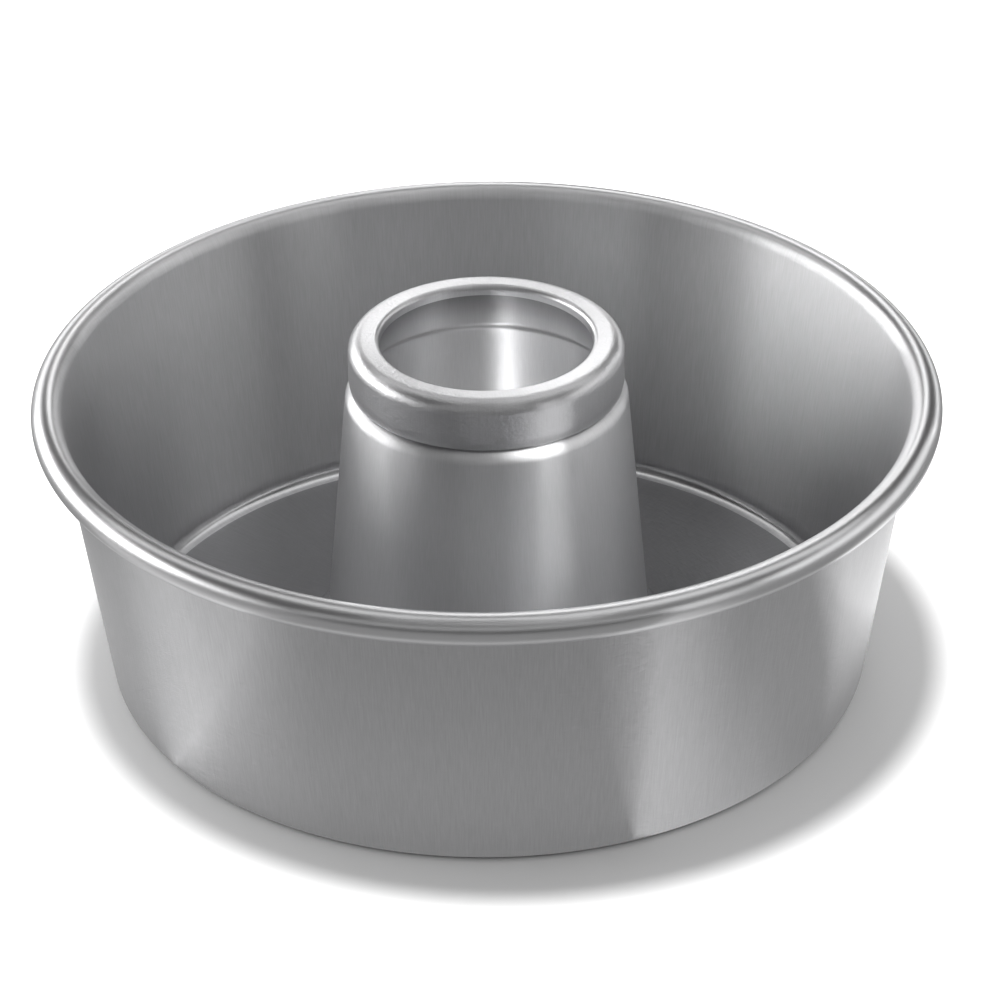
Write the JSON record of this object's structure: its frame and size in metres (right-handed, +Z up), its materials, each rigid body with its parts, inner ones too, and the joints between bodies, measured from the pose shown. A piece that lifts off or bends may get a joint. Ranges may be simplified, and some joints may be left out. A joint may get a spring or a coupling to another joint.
{
  "type": "tube cake pan",
  "caption": "Round aluminium tube cake pan: tapered wall with a wired rim, flat floor, and an open centre tube with a collar that stands above the rim.",
  "frame": {"origin": "on the pan's axis, at the level of the table that the pan stands on", "axes": "+Z up along the pan's axis; the pan is round, so +X and +Y are free"},
  "size_m": [0.2726, 0.2726, 0.1094],
  "materials": {
    "pan_sheet": "satin, spun, with fine rings of brushing",
    "tube_sheet": "satin, drawn, with fine upright and ring brushing",
    "collar_sheet": "satin, a little brighter, lightly scratched on top",
    "wire": "plain drawn wire"
  },
  "bodies": {
    "root": {"pan_body": "pan_sheet", "rim_wire": "wire", "centre_tube": "tube_sheet", "tube_collar": "collar_sheet"}
  },
  "joints": []
}
